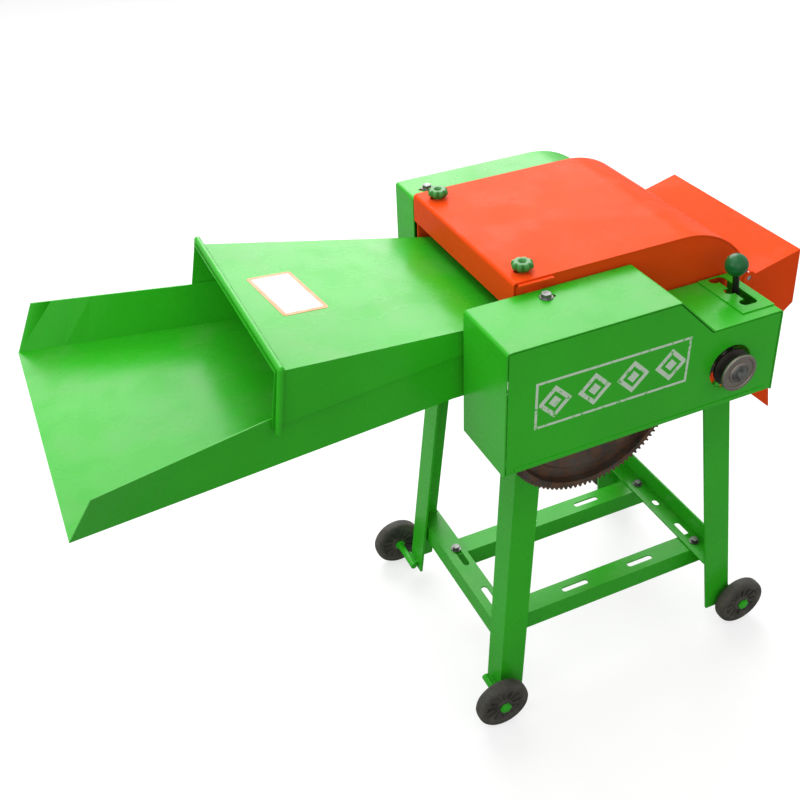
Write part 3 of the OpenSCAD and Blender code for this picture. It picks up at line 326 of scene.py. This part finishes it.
def stencil(paint, body):
    low, high = at(40, 0, 648), at(266, 0, 718)
    middle, half = (low + high) / 2, (high - low) / 2
    split = paint.axes()
    across = paint.math("ABSOLUTE", paint.math("SUBTRACT", split["X"], middle.x))
    up = paint.math("ABSOLUTE", paint.math("SUBTRACT", split["Z"], middle.z))
    edge = paint.math("MAXIMUM", paint.math("SUBTRACT", across, half.x), paint.math("SUBTRACT", up, half.z))
    frame_line = paint.math("COMPARE", edge, -2.2 * MM, 1.8 * MM)
    inside = paint.math("LESS_THAN", edge, -6 * MM)
    cell = half.x / 2
    folded = paint.math("PINGPONG", paint.math("SUBTRACT", split["X"], middle.x - half.x), cell / 2)
    diamond = paint.math("ADD", paint.math("SUBTRACT", cell / 2, folded), up)
    ring = paint.math("COMPARE", diamond, 20 * MM, 4.2 * MM)
    kernel = paint.math("LESS_THAN", diamond, 9 * MM)
    sign = paint.math("MULTIPLY", inside, paint.math("MAXIMUM", ring, kernel))
    shape = paint.math("MAXIMUM", frame_line, sign)
    front = paint.ramp(split["Y"], at(0, -255, 0).y, at(0, -258, 0).y)
    worn = paint.ramp(paint.noise(95.0, 8.0, 0.7), 0.36, 0.46, 0.0, 0.9)
    cover = paint.math("MULTIPLY", shape, paint.math("MULTIPLY", front, worn))
    return paint.blend(cover, body, (0.62, 0.72, 0.60))


def painted_cover_shade(paint, body):
    """Painted shade: the side plate's outer face is painted black as far as the cover hides it, where the cover's
    shade falls.
    """
    split = paint.axes()
    low, high = at(12, 0, 545), at(368, 0, 706)
    outside = paint.math("LESS_THAN", split["Y"], at(0, -145, 0).y)
    across = paint.math("COMPARE", split["X"], (low.x + high.x) / 2, (high.x - low.x) / 2)
    up = paint.math("COMPARE", split["Z"], (low.z + high.z) / 2, (high.z - low.z) / 2)
    spread = paint.ramp(paint.noise(24.0, 6.0), 0.2, 0.4, 0.75, 1.0)
    cover = paint.math("MULTIPLY", paint.math("MULTIPLY", outside, spread), paint.math("MULTIPLY", across, up))
    return paint.blend(cover, body, (0.012, 0.010, 0.008))


stencilled_enamel = enamel("stencilled_enamel", GREEN, mark=stencil)
# The near side plate's enamel carries painted shade wherever the gear cover hides it.
painted_shade_enamel = enamel("painted_shade_enamel", ORANGE, shine=0.02, mark=painted_cover_shade)

# %% [markdown]
# ## Bare metals, rubber and plastic
# Turned steel shows fine rings, zinc is pale and even, cast iron is rough and rusts where it rubs, and the wheels
# are dusty rubber. Each is one short recipe.

# %% Metals, rubber and plastic


def turned_steel(name, colour=(0.42, 0.41, 0.38), roughness=0.34, painted_shade_mask=None):
    steel = Finish(name, metallic=1.0)
    stain = steel.ramp(steel.noise(30.0, 8.0, 0.7), 0.48, 0.72)
    tone = steel.blend(stain, colour, tuple(0.55 * c for c in colour))
    rust = steel.ramp(steel.noise(75.0, 8.0, 0.75), 0.60, 0.70, 0.0, 0.55)
    tone = steel.blend(rust, tone, (0.23, 0.11, 0.05))
    if painted_shade_mask is not None:
        # An optional mask paints shade in near-black.
        tone = steel.blend(painted_shade_mask(steel), tone, (0.016, 0.014, 0.012))
    lines = steel.noise(1.0, 1.0, 0.5, steel.mapped(scale=(60, 2600, 60)))
    steel.bump(lines, 0.25, 0.0002)
    dull = steel.ramp(steel.noise(40.0, 6.0), 0.3, 0.8, roughness, roughness + 0.25)
    return steel.set(Base_Color=tone, Roughness=dull)


def zinc_plate(name):
    zinc = Finish(name, metallic=1.0)
    tone = zinc.blend(zinc.ramp(zinc.noise(120.0, 5.0), 0.4, 0.7), (0.20, 0.21, 0.20), (0.10, 0.10, 0.095))
    zinc.bump(zinc.noise(900.0, 3.0), 0.2, 0.0002)
    return zinc.set(Base_Color=tone, Roughness=zinc.ramp(zinc.noise(90.0, 5.0), 0.3, 0.7, 0.36, 0.55))


def cast_iron(name, rust_amount=0.4, rust_from=0.50):
    iron = Finish(name, metallic=0.7)
    tone = iron.blend(iron.ramp(iron.noise(22.0, 6.0), 0.35, 0.7), (0.055, 0.048, 0.042), (0.11, 0.095, 0.08))
    rust = iron.ramp(iron.noise(60.0, 9.0, 0.72), rust_from, rust_from + 0.22, 0.0, rust_amount)
    tone = iron.blend(rust, tone, (0.20, 0.085, 0.035))
    iron.bump(iron.noise(330.0, 6.0, 0.65), 0.45, 0.0006)
    return iron.set(Base_Color=tone, Roughness=iron.ramp(iron.noise(45.0, 6.0), 0.3, 0.8, 0.45, 0.72))


def wheel_rubber(name):
    rubber = Finish(name)
    worn = rubber.ramp(rubber.noise(28.0, 7.0), 0.35, 0.75)
    tone = rubber.blend(worn, (0.030, 0.028, 0.024), (0.085, 0.078, 0.060))
    dust = rubber.ramp(rubber.noise(160.0, 8.0, 0.7), 0.55, 0.75, 0.0, 0.5)
    tone = rubber.blend(dust, tone, (0.16, 0.145, 0.11))
    rubber.bump(rubber.noise(500.0, 4.0), 0.3, 0.0004)
    return rubber.set(Base_Color=tone, Roughness=rubber.ramp(rubber.noise(33.0, 6.0), 0.3, 0.7, 0.55, 0.8))


def moulded_plastic(name, colour):
    plastic = Finish(name)
    tone = plastic.blend(plastic.ramp(plastic.noise(40.0, 5.0), 0.4, 0.75), colour, tuple(0.7 * c for c in colour))
    plastic.bump(plastic.noise(260.0, 3.0), 0.08, 0.0003)
    return plastic.set(Base_Color=tone, Roughness=plastic.ramp(plastic.noise(60.0, 6.0), 0.3, 0.8, 0.26, 0.42),
                       Specular_IOR_Level=0.3)


def black_steel(name):
    dark = Finish(name, metallic=0.6)
    tone = dark.blend(dark.ramp(dark.noise(80.0, 7.0, 0.7), 0.5, 0.72), (0.022, 0.022, 0.023), (0.09, 0.07, 0.055))
    dark.bump(dark.noise(500.0, 4.0), 0.2, 0.0003)
    return dark.set(Base_Color=tone, Roughness=dark.ramp(dark.noise(60.0, 5.0), 0.3, 0.8, 0.3, 0.5))


finishes = {
    "green_paint": green_enamel,
    "orange_paint": orange_enamel,
    "steel": turned_steel("turned_steel"),
    "zinc": zinc_plate("zinc_plate"),
    "cast_iron": cast_iron("cast_iron"),
    "black_steel": black_steel("black_steel"),
    "knob_plastic": moulded_plastic("knob_plastic", (0.045, 0.25, 0.045)),
    "wheel_rubber": wheel_rubber("wheel_rubber"),
}
rusty_teeth = cast_iron("rusty_teeth", 0.6, rust_from=0.38)
coarse = {"gear_cover_front": stencilled_enamel, "big_gear": rusty_teeth, "side_plate_near": painted_shade_enamel}
print("finishes:", ", ".join(finishes))

# %% [markdown]
# ## Softened edges
# A real sheet or casting has no razor edge. The measured solids are exact, so each gets a copy whose sharp edges
# are rounded a little. A Bevel modifier would do, but bmesh lets the copy be merged and cleaned first.

# %% Round the edges of every measured solid


def finish_piece(bm, name, node, material, smooth=38.0, hide=True):
    mesh = bpy.data.meshes.new(name)
    bm.to_mesh(mesh)
    bm.free()
    mesh.shade_smooth()
    mesh.set_sharp_from_angle(angle=math.radians(smooth))
    piece = bpy.data.objects.new(name, mesh)
    scene.collection.objects.link(piece)
    flat = piece.modifiers.new("flat_faces", "WEIGHTED_NORMAL")
    flat.keep_sharp = True
    flat.weight = 100
    mesh.materials.append(material)
    body = nodes[node]["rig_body"]
    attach(piece, body)
    if hide:
        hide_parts(node)
    return piece


def softened(node, width, segments=2, material=None, angle=34.0):
    bm = bmesh.new()
    bm.from_mesh(nodes[node].data)
    bmesh.ops.remove_doubles(bm, verts=bm.verts, dist=2e-6)
    if node not in ruled:
        bmesh.ops.dissolve_limit(bm, angle_limit=math.radians(0.4), verts=bm.verts, edges=bm.edges)
    limit = math.radians(angle)
    sharp = [e for e in bm.edges if len(e.link_faces) == 2 and e.calc_face_angle(0) > limit]
    bmesh.ops.bevel(bm, geom=sharp, offset=width, segments=segments, profile=0.5, affect="EDGES",
                    clamp_overlap=True, material=-1)
    return finish_piece(bm, node + "_skin", node, material or finishes[slot_of[node]])


ruled = {"feed_table", "feed_hood"}
edge_width = {
    "rotor_spiders": 1.5 * MM, "main_bearings": 1.5 * MM, "roller_bearings": 1.5 * MM,
    "big_gear": 0.4 * MM, "drive_pinion": 0.4 * MM, "knives": 0.3 * MM, "bed_knife": 0.3 * MM,
}
modelled = {
    "wheel_near_left", "wheel_near_right", "wheel_far_left", "wheel_far_right", "lid_knob_near", "lid_knob_far",
    "lever_ball", "input_pulley", "pressure_springs",
}
for node_name in sorted(set(nodes) - modelled):
    softened(node_name, edge_width.get(node_name, 0.6 * MM), material=coarse.get(node_name))
print("softened", len(nodes) - len(modelled), "solids")

# %% [markdown]
# ## Turned shapes
# Wheels, knobs, the ball and the pulley are round. A profile drawn once and spun about its axis gives them all. A
# Screw modifier would do the same, but a spun bmesh can be notched and joined before it becomes a mesh.

# %% A lathe
def lathe(profile, steps=64):
    """Spins (radius, height) pairs in millimetres about z. A profile that starts off the axis is a closed ring."""
    bm = bmesh.new()
    points = [bm.verts.new((radius * MM, 0, height * MM)) for radius, height in profile]
    loop = profile[0][0] > 0
    for first, second in zip(points, points[1:] + (points[:1] if loop else [])):
        bm.edges.new((first, second))
    bmesh.ops.spin(bm, geom=bm.verts[:] + bm.edges[:], angle=2 * math.pi, steps=steps, axis=(0, 0, 1),
                   cent=(0, 0, 0), use_merge=True)
    bmesh.ops.remove_doubles(bm, verts=bm.verts, dist=1e-6)
    bmesh.ops.recalc_face_normals(bm, faces=bm.faces)
    return bm


def put(bm, place, degrees, axis):
    """Turns a whole mesh about one axis of its own and moves it to its place."""
    turn = Matrix.Rotation(math.radians(degrees), 4, axis)
    bmesh.ops.transform(bm, matrix=Matrix.Translation(place) @ turn, verts=bm.verts)


def add_block(bm, size, place):
    """Adds a small bevelled block, in millimetres, turned and put by a matrix."""
    made = bmesh.ops.create_cube(bm, size=MM)["verts"]
    bmesh.ops.scale(bm, vec=size, verts=made)
    edges = {edge for vert in made for edge in vert.link_edges}
    rounded = bmesh.ops.bevel(bm, geom=list(edges), offset=0.35 * MM, segments=2, profile=0.5, affect="EDGES",
                              material=-1, clamp_overlap=True)
    made = {vert for face in rounded["faces"] for vert in face.verts} | {v for v in made if v.is_valid}
    bmesh.ops.transform(bm, matrix=place, verts=list(made))


# %% [markdown]
# ## Solid rubber wheels
# Each wheel is a dull black disc with a crowned tread, a sunk web with faint ribs, and a hub. The hub turns on a
# bare stub, held by a small nut that was painted with the stand.

# %% Four wheels
WHEEL_R, WHEEL_W, AXLE_R = 45.0, 22.0, 6.08
wheel_profile = [
    (AXLE_R, 0.6), (AXLE_R + 0.6, 0), (12.4, 0), (13.4, 1), (14.2, 3.8), (16, 4.8), (29, 4.8), (31.2, 3.6),
    (32.4, 1.4), (34, 0.4), (38, 0.2), (40.6, 0.7), (42.8, 1.9), (44.2, 3.8), (44.8, 6.5), (45, 9.0), (45, 13.0), (44.8, 15.5),
    (44.2, 18.2), (42.8, 20.1), (40.6, 21.3), (38, 21.8), (34, 21.6), (32.4, 20.6), (31.2, 18.4), (29, 17.2),
    (16, 17.2), (14.2, 18.2), (13.4, 21), (12.4, 22), (AXLE_R + 0.6, 22), (AXLE_R, 21.4),
]
wheel_places = {
    "wheel_near_left": (44, -209), "wheel_near_right": (525, -200), "wheel_far_left": (44, 206),
    "wheel_far_right": (525, 206),
}
for node_name, (x, y) in wheel_places.items():
    bm = lathe(wheel_profile, 72)
    for i in range(12):
        for height in (3.5, WHEEL_W - 3.5):
            add_block(bm, (17.5, 1.6, 2.8), Matrix.Rotation(math.radians(30 * i), 4, "Z")
                      @ Matrix.Translation((22.3 * MM, 0, height * MM)))
    put(bm, at(x, y, WHEEL_R), -90, "X")
    finish_piece(bm, node_name + "_tyre", node_name, finishes["wheel_rubber"])
print("made", len(wheel_places), "wheels")

# %% [markdown]
# ## Hand knobs and the lever's ball
# The lid is held by two moulded star knobs, and the lever ends in a ball. A star is a turned disc whose rim is pulled
# in eight times round, which a wave on the radius does more smoothly than eight cuts.

# %% Star knobs
knob_profile = [
    (0, 9.2), (2.2, 9.2), (3.4, 10.2), (5.2, 12.4), (7.2, 13), (10.5, 12.9), (12.8, 12.2), (14.2, 10.8), (14.8, 9),
    (14.9, 7), (14.3, 5.2), (12.6, 4), (9.4, 3.4), (8.2, 2.8), (8, 1.2), (7.6, 0.2), (4.4, 0.2), (4, -0.4),
    (4, -11), (0, -11),
]
for node_name, side in (("lid_knob_near", -1), ("lid_knob_far", 1)):
    bm = lathe(knob_profile, 96)
    for vert in bm.verts:
        reach = math.hypot(vert.co.x, vert.co.y)
        if reach > 9 * MM:
            notch = (0.5 - 0.5 * math.cos(8 * math.atan2(vert.co.y, vert.co.x))) ** 2
            pull = 1 - 0.24 * notch * min(1.0, (reach - 9 * MM) / (5 * MM))
            vert.co.x *= pull
            vert.co.y *= pull
    bmesh.ops.translate(bm, vec=at(98, side * 121, 788), verts=bm.verts)
    finish_piece(bm, node_name + "_star", node_name, finishes["knob_plastic"])

# %% The ball
ball_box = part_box("lever_ball")
ball_middle = (Vector(ball_box[0]) + Vector(ball_box[1])) / 2
BALL_R = 15.5


def ball_arc(first, last):
    """Points of the ball's outline, from the top down, every 8 degrees."""
    return [(BALL_R * math.sin(math.radians(a)), BALL_R * math.cos(math.radians(a))) for a in range(first, last, 8)]


ball_profile = [(0, BALL_R)] + ball_arc(8, 88)
ball_profile += [(BALL_R - 0.05, 0.7), (BALL_R - 0.35, 0.3), (BALL_R - 0.35, -0.3), (BALL_R - 0.05, -0.7)]
ball_profile += ball_arc(96, 152)
ball_profile += [(6.6, -14.1), (6.2, -14.6), (4.6, -14.6), (4.5, -13.8), (4.5, -9.6), (0, -9.6)]
bm = lathe(ball_profile, 64)
lever_lean = math.atan2(399.6 - 387, 717.0 - 636)
put(bm, ball_middle, -math.degrees(lever_lean), "Y")
finish_piece(bm, "lever_ball_knob", "lever_ball", moulded_plastic("ball_plastic", (0.006, 0.12, 0.028)))

# %% [markdown]
# ## The input pulley
# A small grooved steel pulley stands out of the cover's round hole. It is turned all over, so its face has a rim,
# a shallow recess and a boss, and the groove has straight flanks.

# %% Grooved pulley
pulley_profile = [
    (12.6, 0.5), (13.2, 0), (25.6, 0), (26.8, 0.6), (27, 1.6), (27, 3.6), (26.4, 4.4), (20.4, 8.0), (20, 8.6),
    (20, 12.4), (20.4, 13), (26.4, 16.6), (27, 17.4), (27, 19.4), (26.6, 20.4), (25.8, 21), (22.8, 21),
    (22.2, 20.6), (21.6, 19.4), (15.6, 19.4), (15, 20.6), (14.4, 21), (13.2, 21), (12.6, 20.5),
]
bm = lathe(pulley_profile, 96)
put(bm, at(336, -258.5, 650), 90, "X")



def painted_groove_shade(steel):
    """Painted shade: the groove and what lies behind the front flange are painted black, for the shade deep in the
    groove and the cover's hole.
    """
    return steel.ramp(steel.axes()["Y"], at(0, -275.0, 0).y, at(0, -273.5, 0).y, 0.0, 0.93)


# The pulley's steel is painted black behind its front flange, as painted shade.
bright_steel = turned_steel("bright_steel", (0.25, 0.225, 0.195), 0.36, painted_groove_shade)
finish_piece(bm, "input_pulley_turned", "input_pulley", bright_steel)

# %% [markdown]
# ## Washers at the hinge pin's ends
# The pin sticks out of the side plates a little. A plain washer lies over each end's hole and was painted with the
# plate. It is turned like the pulley, and thin enough to stay clear of the lid's edge.

# %% Painted washers
HINGE_X, HINGE_Z, PLATE_Y = 450.945, 694.66, 146.0
washer_profile = [(3.95, 0.75), (10.0, 0.75), (10.3, 0.95), (10.3, 1.4), (10.0, 1.7), (3.95, 1.7)]
for side, where in ((-1, "near"), (1, "far")):
    bm = lathe(washer_profile, 48)
    put(bm, at(HINGE_X, side * PLATE_Y, HINGE_Z), -90 * side, "X")
    finish_piece(bm, "hinge_washer_" + where, "side_plate_" + where, finishes["orange_paint"], hide=False)

# %% [markdown]
# ## Coil springs
# Two springs press the upper roller down. Each is a wire circle spun about an upright axis while it climbs.

# %% Two coil springs
SPRING_LEN, WIRE_R, COIL_R, TURNS = 36.0, 1.5, 6.5, 6
spring_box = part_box("pressure_springs")
for side, name in ((-1, "near"), (1, "far")):
    bm = bmesh.new()
    wire = bmesh.ops.create_circle(bm, segments=10, radius=WIRE_R * MM)["verts"]
    bmesh.ops.rotate(bm, verts=wire, cent=(0, 0, 0), matrix=Matrix.Rotation(math.radians(90), 3, "X"))
    bmesh.ops.translate(bm, verts=wire, vec=(COIL_R * MM, 0, (WIRE_R + 0.2) * MM))
    steps = TURNS * 24
    climb = (SPRING_LEN - 2 * WIRE_R - 0.4) / steps
    bmesh.ops.spin(bm, geom=bm.verts[:] + bm.edges[:], angle=2 * math.pi * TURNS, steps=steps, axis=(0, 0, 1),
                   cent=(0, 0, 0), dvec=(0, 0, climb * MM))
    bmesh.ops.holes_fill(bm, edges=[edge for edge in bm.edges if edge.is_boundary], sides=0)
    bmesh.ops.recalc_face_normals(bm, faces=bm.faces)
    foot = Vector(((spring_box[0][0] + spring_box[1][0]) / 2, at(0, side * 155.5, 0).y, spring_box[0][2]))
    bmesh.ops.translate(bm, vec=foot, verts=bm.verts)
    coil = finish_piece(bm, "pressure_spring_" + name, "pressure_springs", finishes["steel"])
    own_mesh(coil)

# %% [markdown]
# ## A blank card on the hood
# A paper card is glued to the hood, a little askew. It carries nothing but a coloured border, which is drawn in
# its material, and it is a thin sheet with rounded corners that lies on the sloping steel.

# %% The card
CARD_LONG, CARD_WIDE, CARD_THICK = 54.5, 32, 0.3
card_slope = 39 / 255
card_centre = at(-174, 7, 775 - card_slope * (-174 + 250) + 0.35)
lie = Matrix.Rotation(math.atan(card_slope), 4, "Y")
card_place = Matrix.Translation(card_centre) @ lie @ Matrix.Rotation(math.radians(98.3), 4, "Z")


def card_paper():
    paper = Finish("card_paper", roughness=0.4)
    turned = paper.node("ShaderNodeMapping", Vector=paper.place)
    turned.vector_type = "TEXTURE"
    turned.inputs["Location"].default_value = card_place.to_translation()
    turned.inputs["Rotation"].default_value = card_place.to_euler()
    split = paper.axes(turned.outputs[0])
    across = paper.math("SUBTRACT", paper.math("ABSOLUTE", split["X"]), CARD_LONG * MM)
    along = paper.math("SUBTRACT", paper.math("ABSOLUTE", split["Y"]), CARD_WIDE * MM)
    edge = paper.math("MAXIMUM", across, along)
    border = paper.ramp(edge, -5.6 * MM, -5.0 * MM)
    stained = paper.blend(paper.ramp(paper.noise(60.0, 7.0), 0.4, 0.75), (0.66, 0.66, 0.62), (0.56, 0.54, 0.48))
    tone = paper.blend(border, stained, (0.72, 0.24, 0.06))
    paper.bump(paper.noise(260.0, 4.0), 0.12, 0.0003)
    return paper.set(Base_Color=tone, Roughness=paper.ramp(paper.noise(70.0, 5.0), 0.3, 0.7, 0.32, 0.5))


bm = bmesh.new()
bmesh.ops.create_grid(bm, x_segments=8, y_segments=5, size=1)
bmesh.ops.scale(bm, vec=(CARD_LONG * MM, CARD_WIDE * MM, 1), verts=bm.verts)
corners = [vert for vert in bm.verts if len(vert.link_edges) == 2]
bmesh.ops.bevel(bm, geom=corners, offset=4 * MM, segments=4, profile=0.5, affect="VERTICES", material=-1)
bmesh.ops.solidify(bm, geom=bm.faces[:], thickness=CARD_THICK * MM)
bmesh.ops.recalc_face_normals(bm, faces=bm.faces)
bmesh.ops.transform(bm, matrix=card_place, verts=bm.verts)
finish_piece(bm, "hood_card", "feed_hood", card_paper(), hide=False)

# %% [markdown]
# ## The hem of the cover's front
# The front sheet's lower edge is folded back on itself for stiffness. The fold stands a little proud of the sheet,
# so a slim bevelled strip along the edge gives the line that it draws.

# %% A folded hem
bm = bmesh.new()
add_block(bm, (388, 1.8, 6.4), Matrix.Translation(at(209, -259.8, 593.4)))
finish_piece(bm, "cover_hem", "gear_cover_front", finishes["green_paint"], hide=False)

# %% [markdown]
# ## Weld beads
# The stand is welded by hand. A bead is a row of small overlapping drops, each squashed and pushed a little out of
# line, which looks more like a weld than one smooth tube.

# %% Weld beads
chance = random.Random(17)


def weld(name, node, start, end, radius, material):
    bm = bmesh.new()
    run = end - start
    count = max(3, int(run.length / (radius * MM * 0.85)))
    for i in range(count + 1):
        drop = bmesh.ops.create_icosphere(bm, subdivisions=1, radius=radius * MM)["verts"]
        bmesh.ops.scale(bm, vec=(1, 1, 0.8), verts=drop)
        size = chance.uniform(0.85, 1.15)
        bmesh.ops.scale(bm, vec=(size, size, size), verts=drop)
        jitter = Vector([chance.uniform(-0.25, 0.25) * radius * MM for _ in range(3)])
        bmesh.ops.translate(bm, vec=start + run * (i / count) + jitter, verts=drop)
    return finish_piece(bm, name, node, material, smooth=60.0, hide=False)


green_paint, orange_paint = finishes["green_paint"], finishes["orange_paint"]
BEAM_Y, BEAM_Z, BEAM_BEAD = 161.6, 144.6, 2.2
AXLE_Y, AXLE_Z, AXLE_BEAD = (172, 150), 51, 1.6
KNUCKLE_Y, KNUCKLE_HALF, KNUCKLE_BEAD = 112, 13, 1.8
for side, where in ((-1, "near"), (1, "far")):
    for end, foot in (("left", (71, 102)), ("right", (457, 486))):
        start, stop = (at(x, side * BEAM_Y, BEAM_Z) for x in foot)
        weld("weld_beam_" + end + "_" + where, "cross_beam_" + end, start, stop, BEAM_BEAD, green_paint)
    for end, x in (("left", 50), ("right", 519)):
        start, stop = (at(x, side * y, AXLE_Z) for y in AXLE_Y)
        weld("weld_axle_" + end + "_" + where, "wheel_axles", start, stop, AXLE_BEAD, green_paint)
    start, stop = (at(452, side * KNUCKLE_Y + y, 702) for y in (-KNUCKLE_HALF, KNUCKLE_HALF))
    weld("weld_knuckle_" + where, "lid", start, stop, KNUCKLE_BEAD, orange_paint)
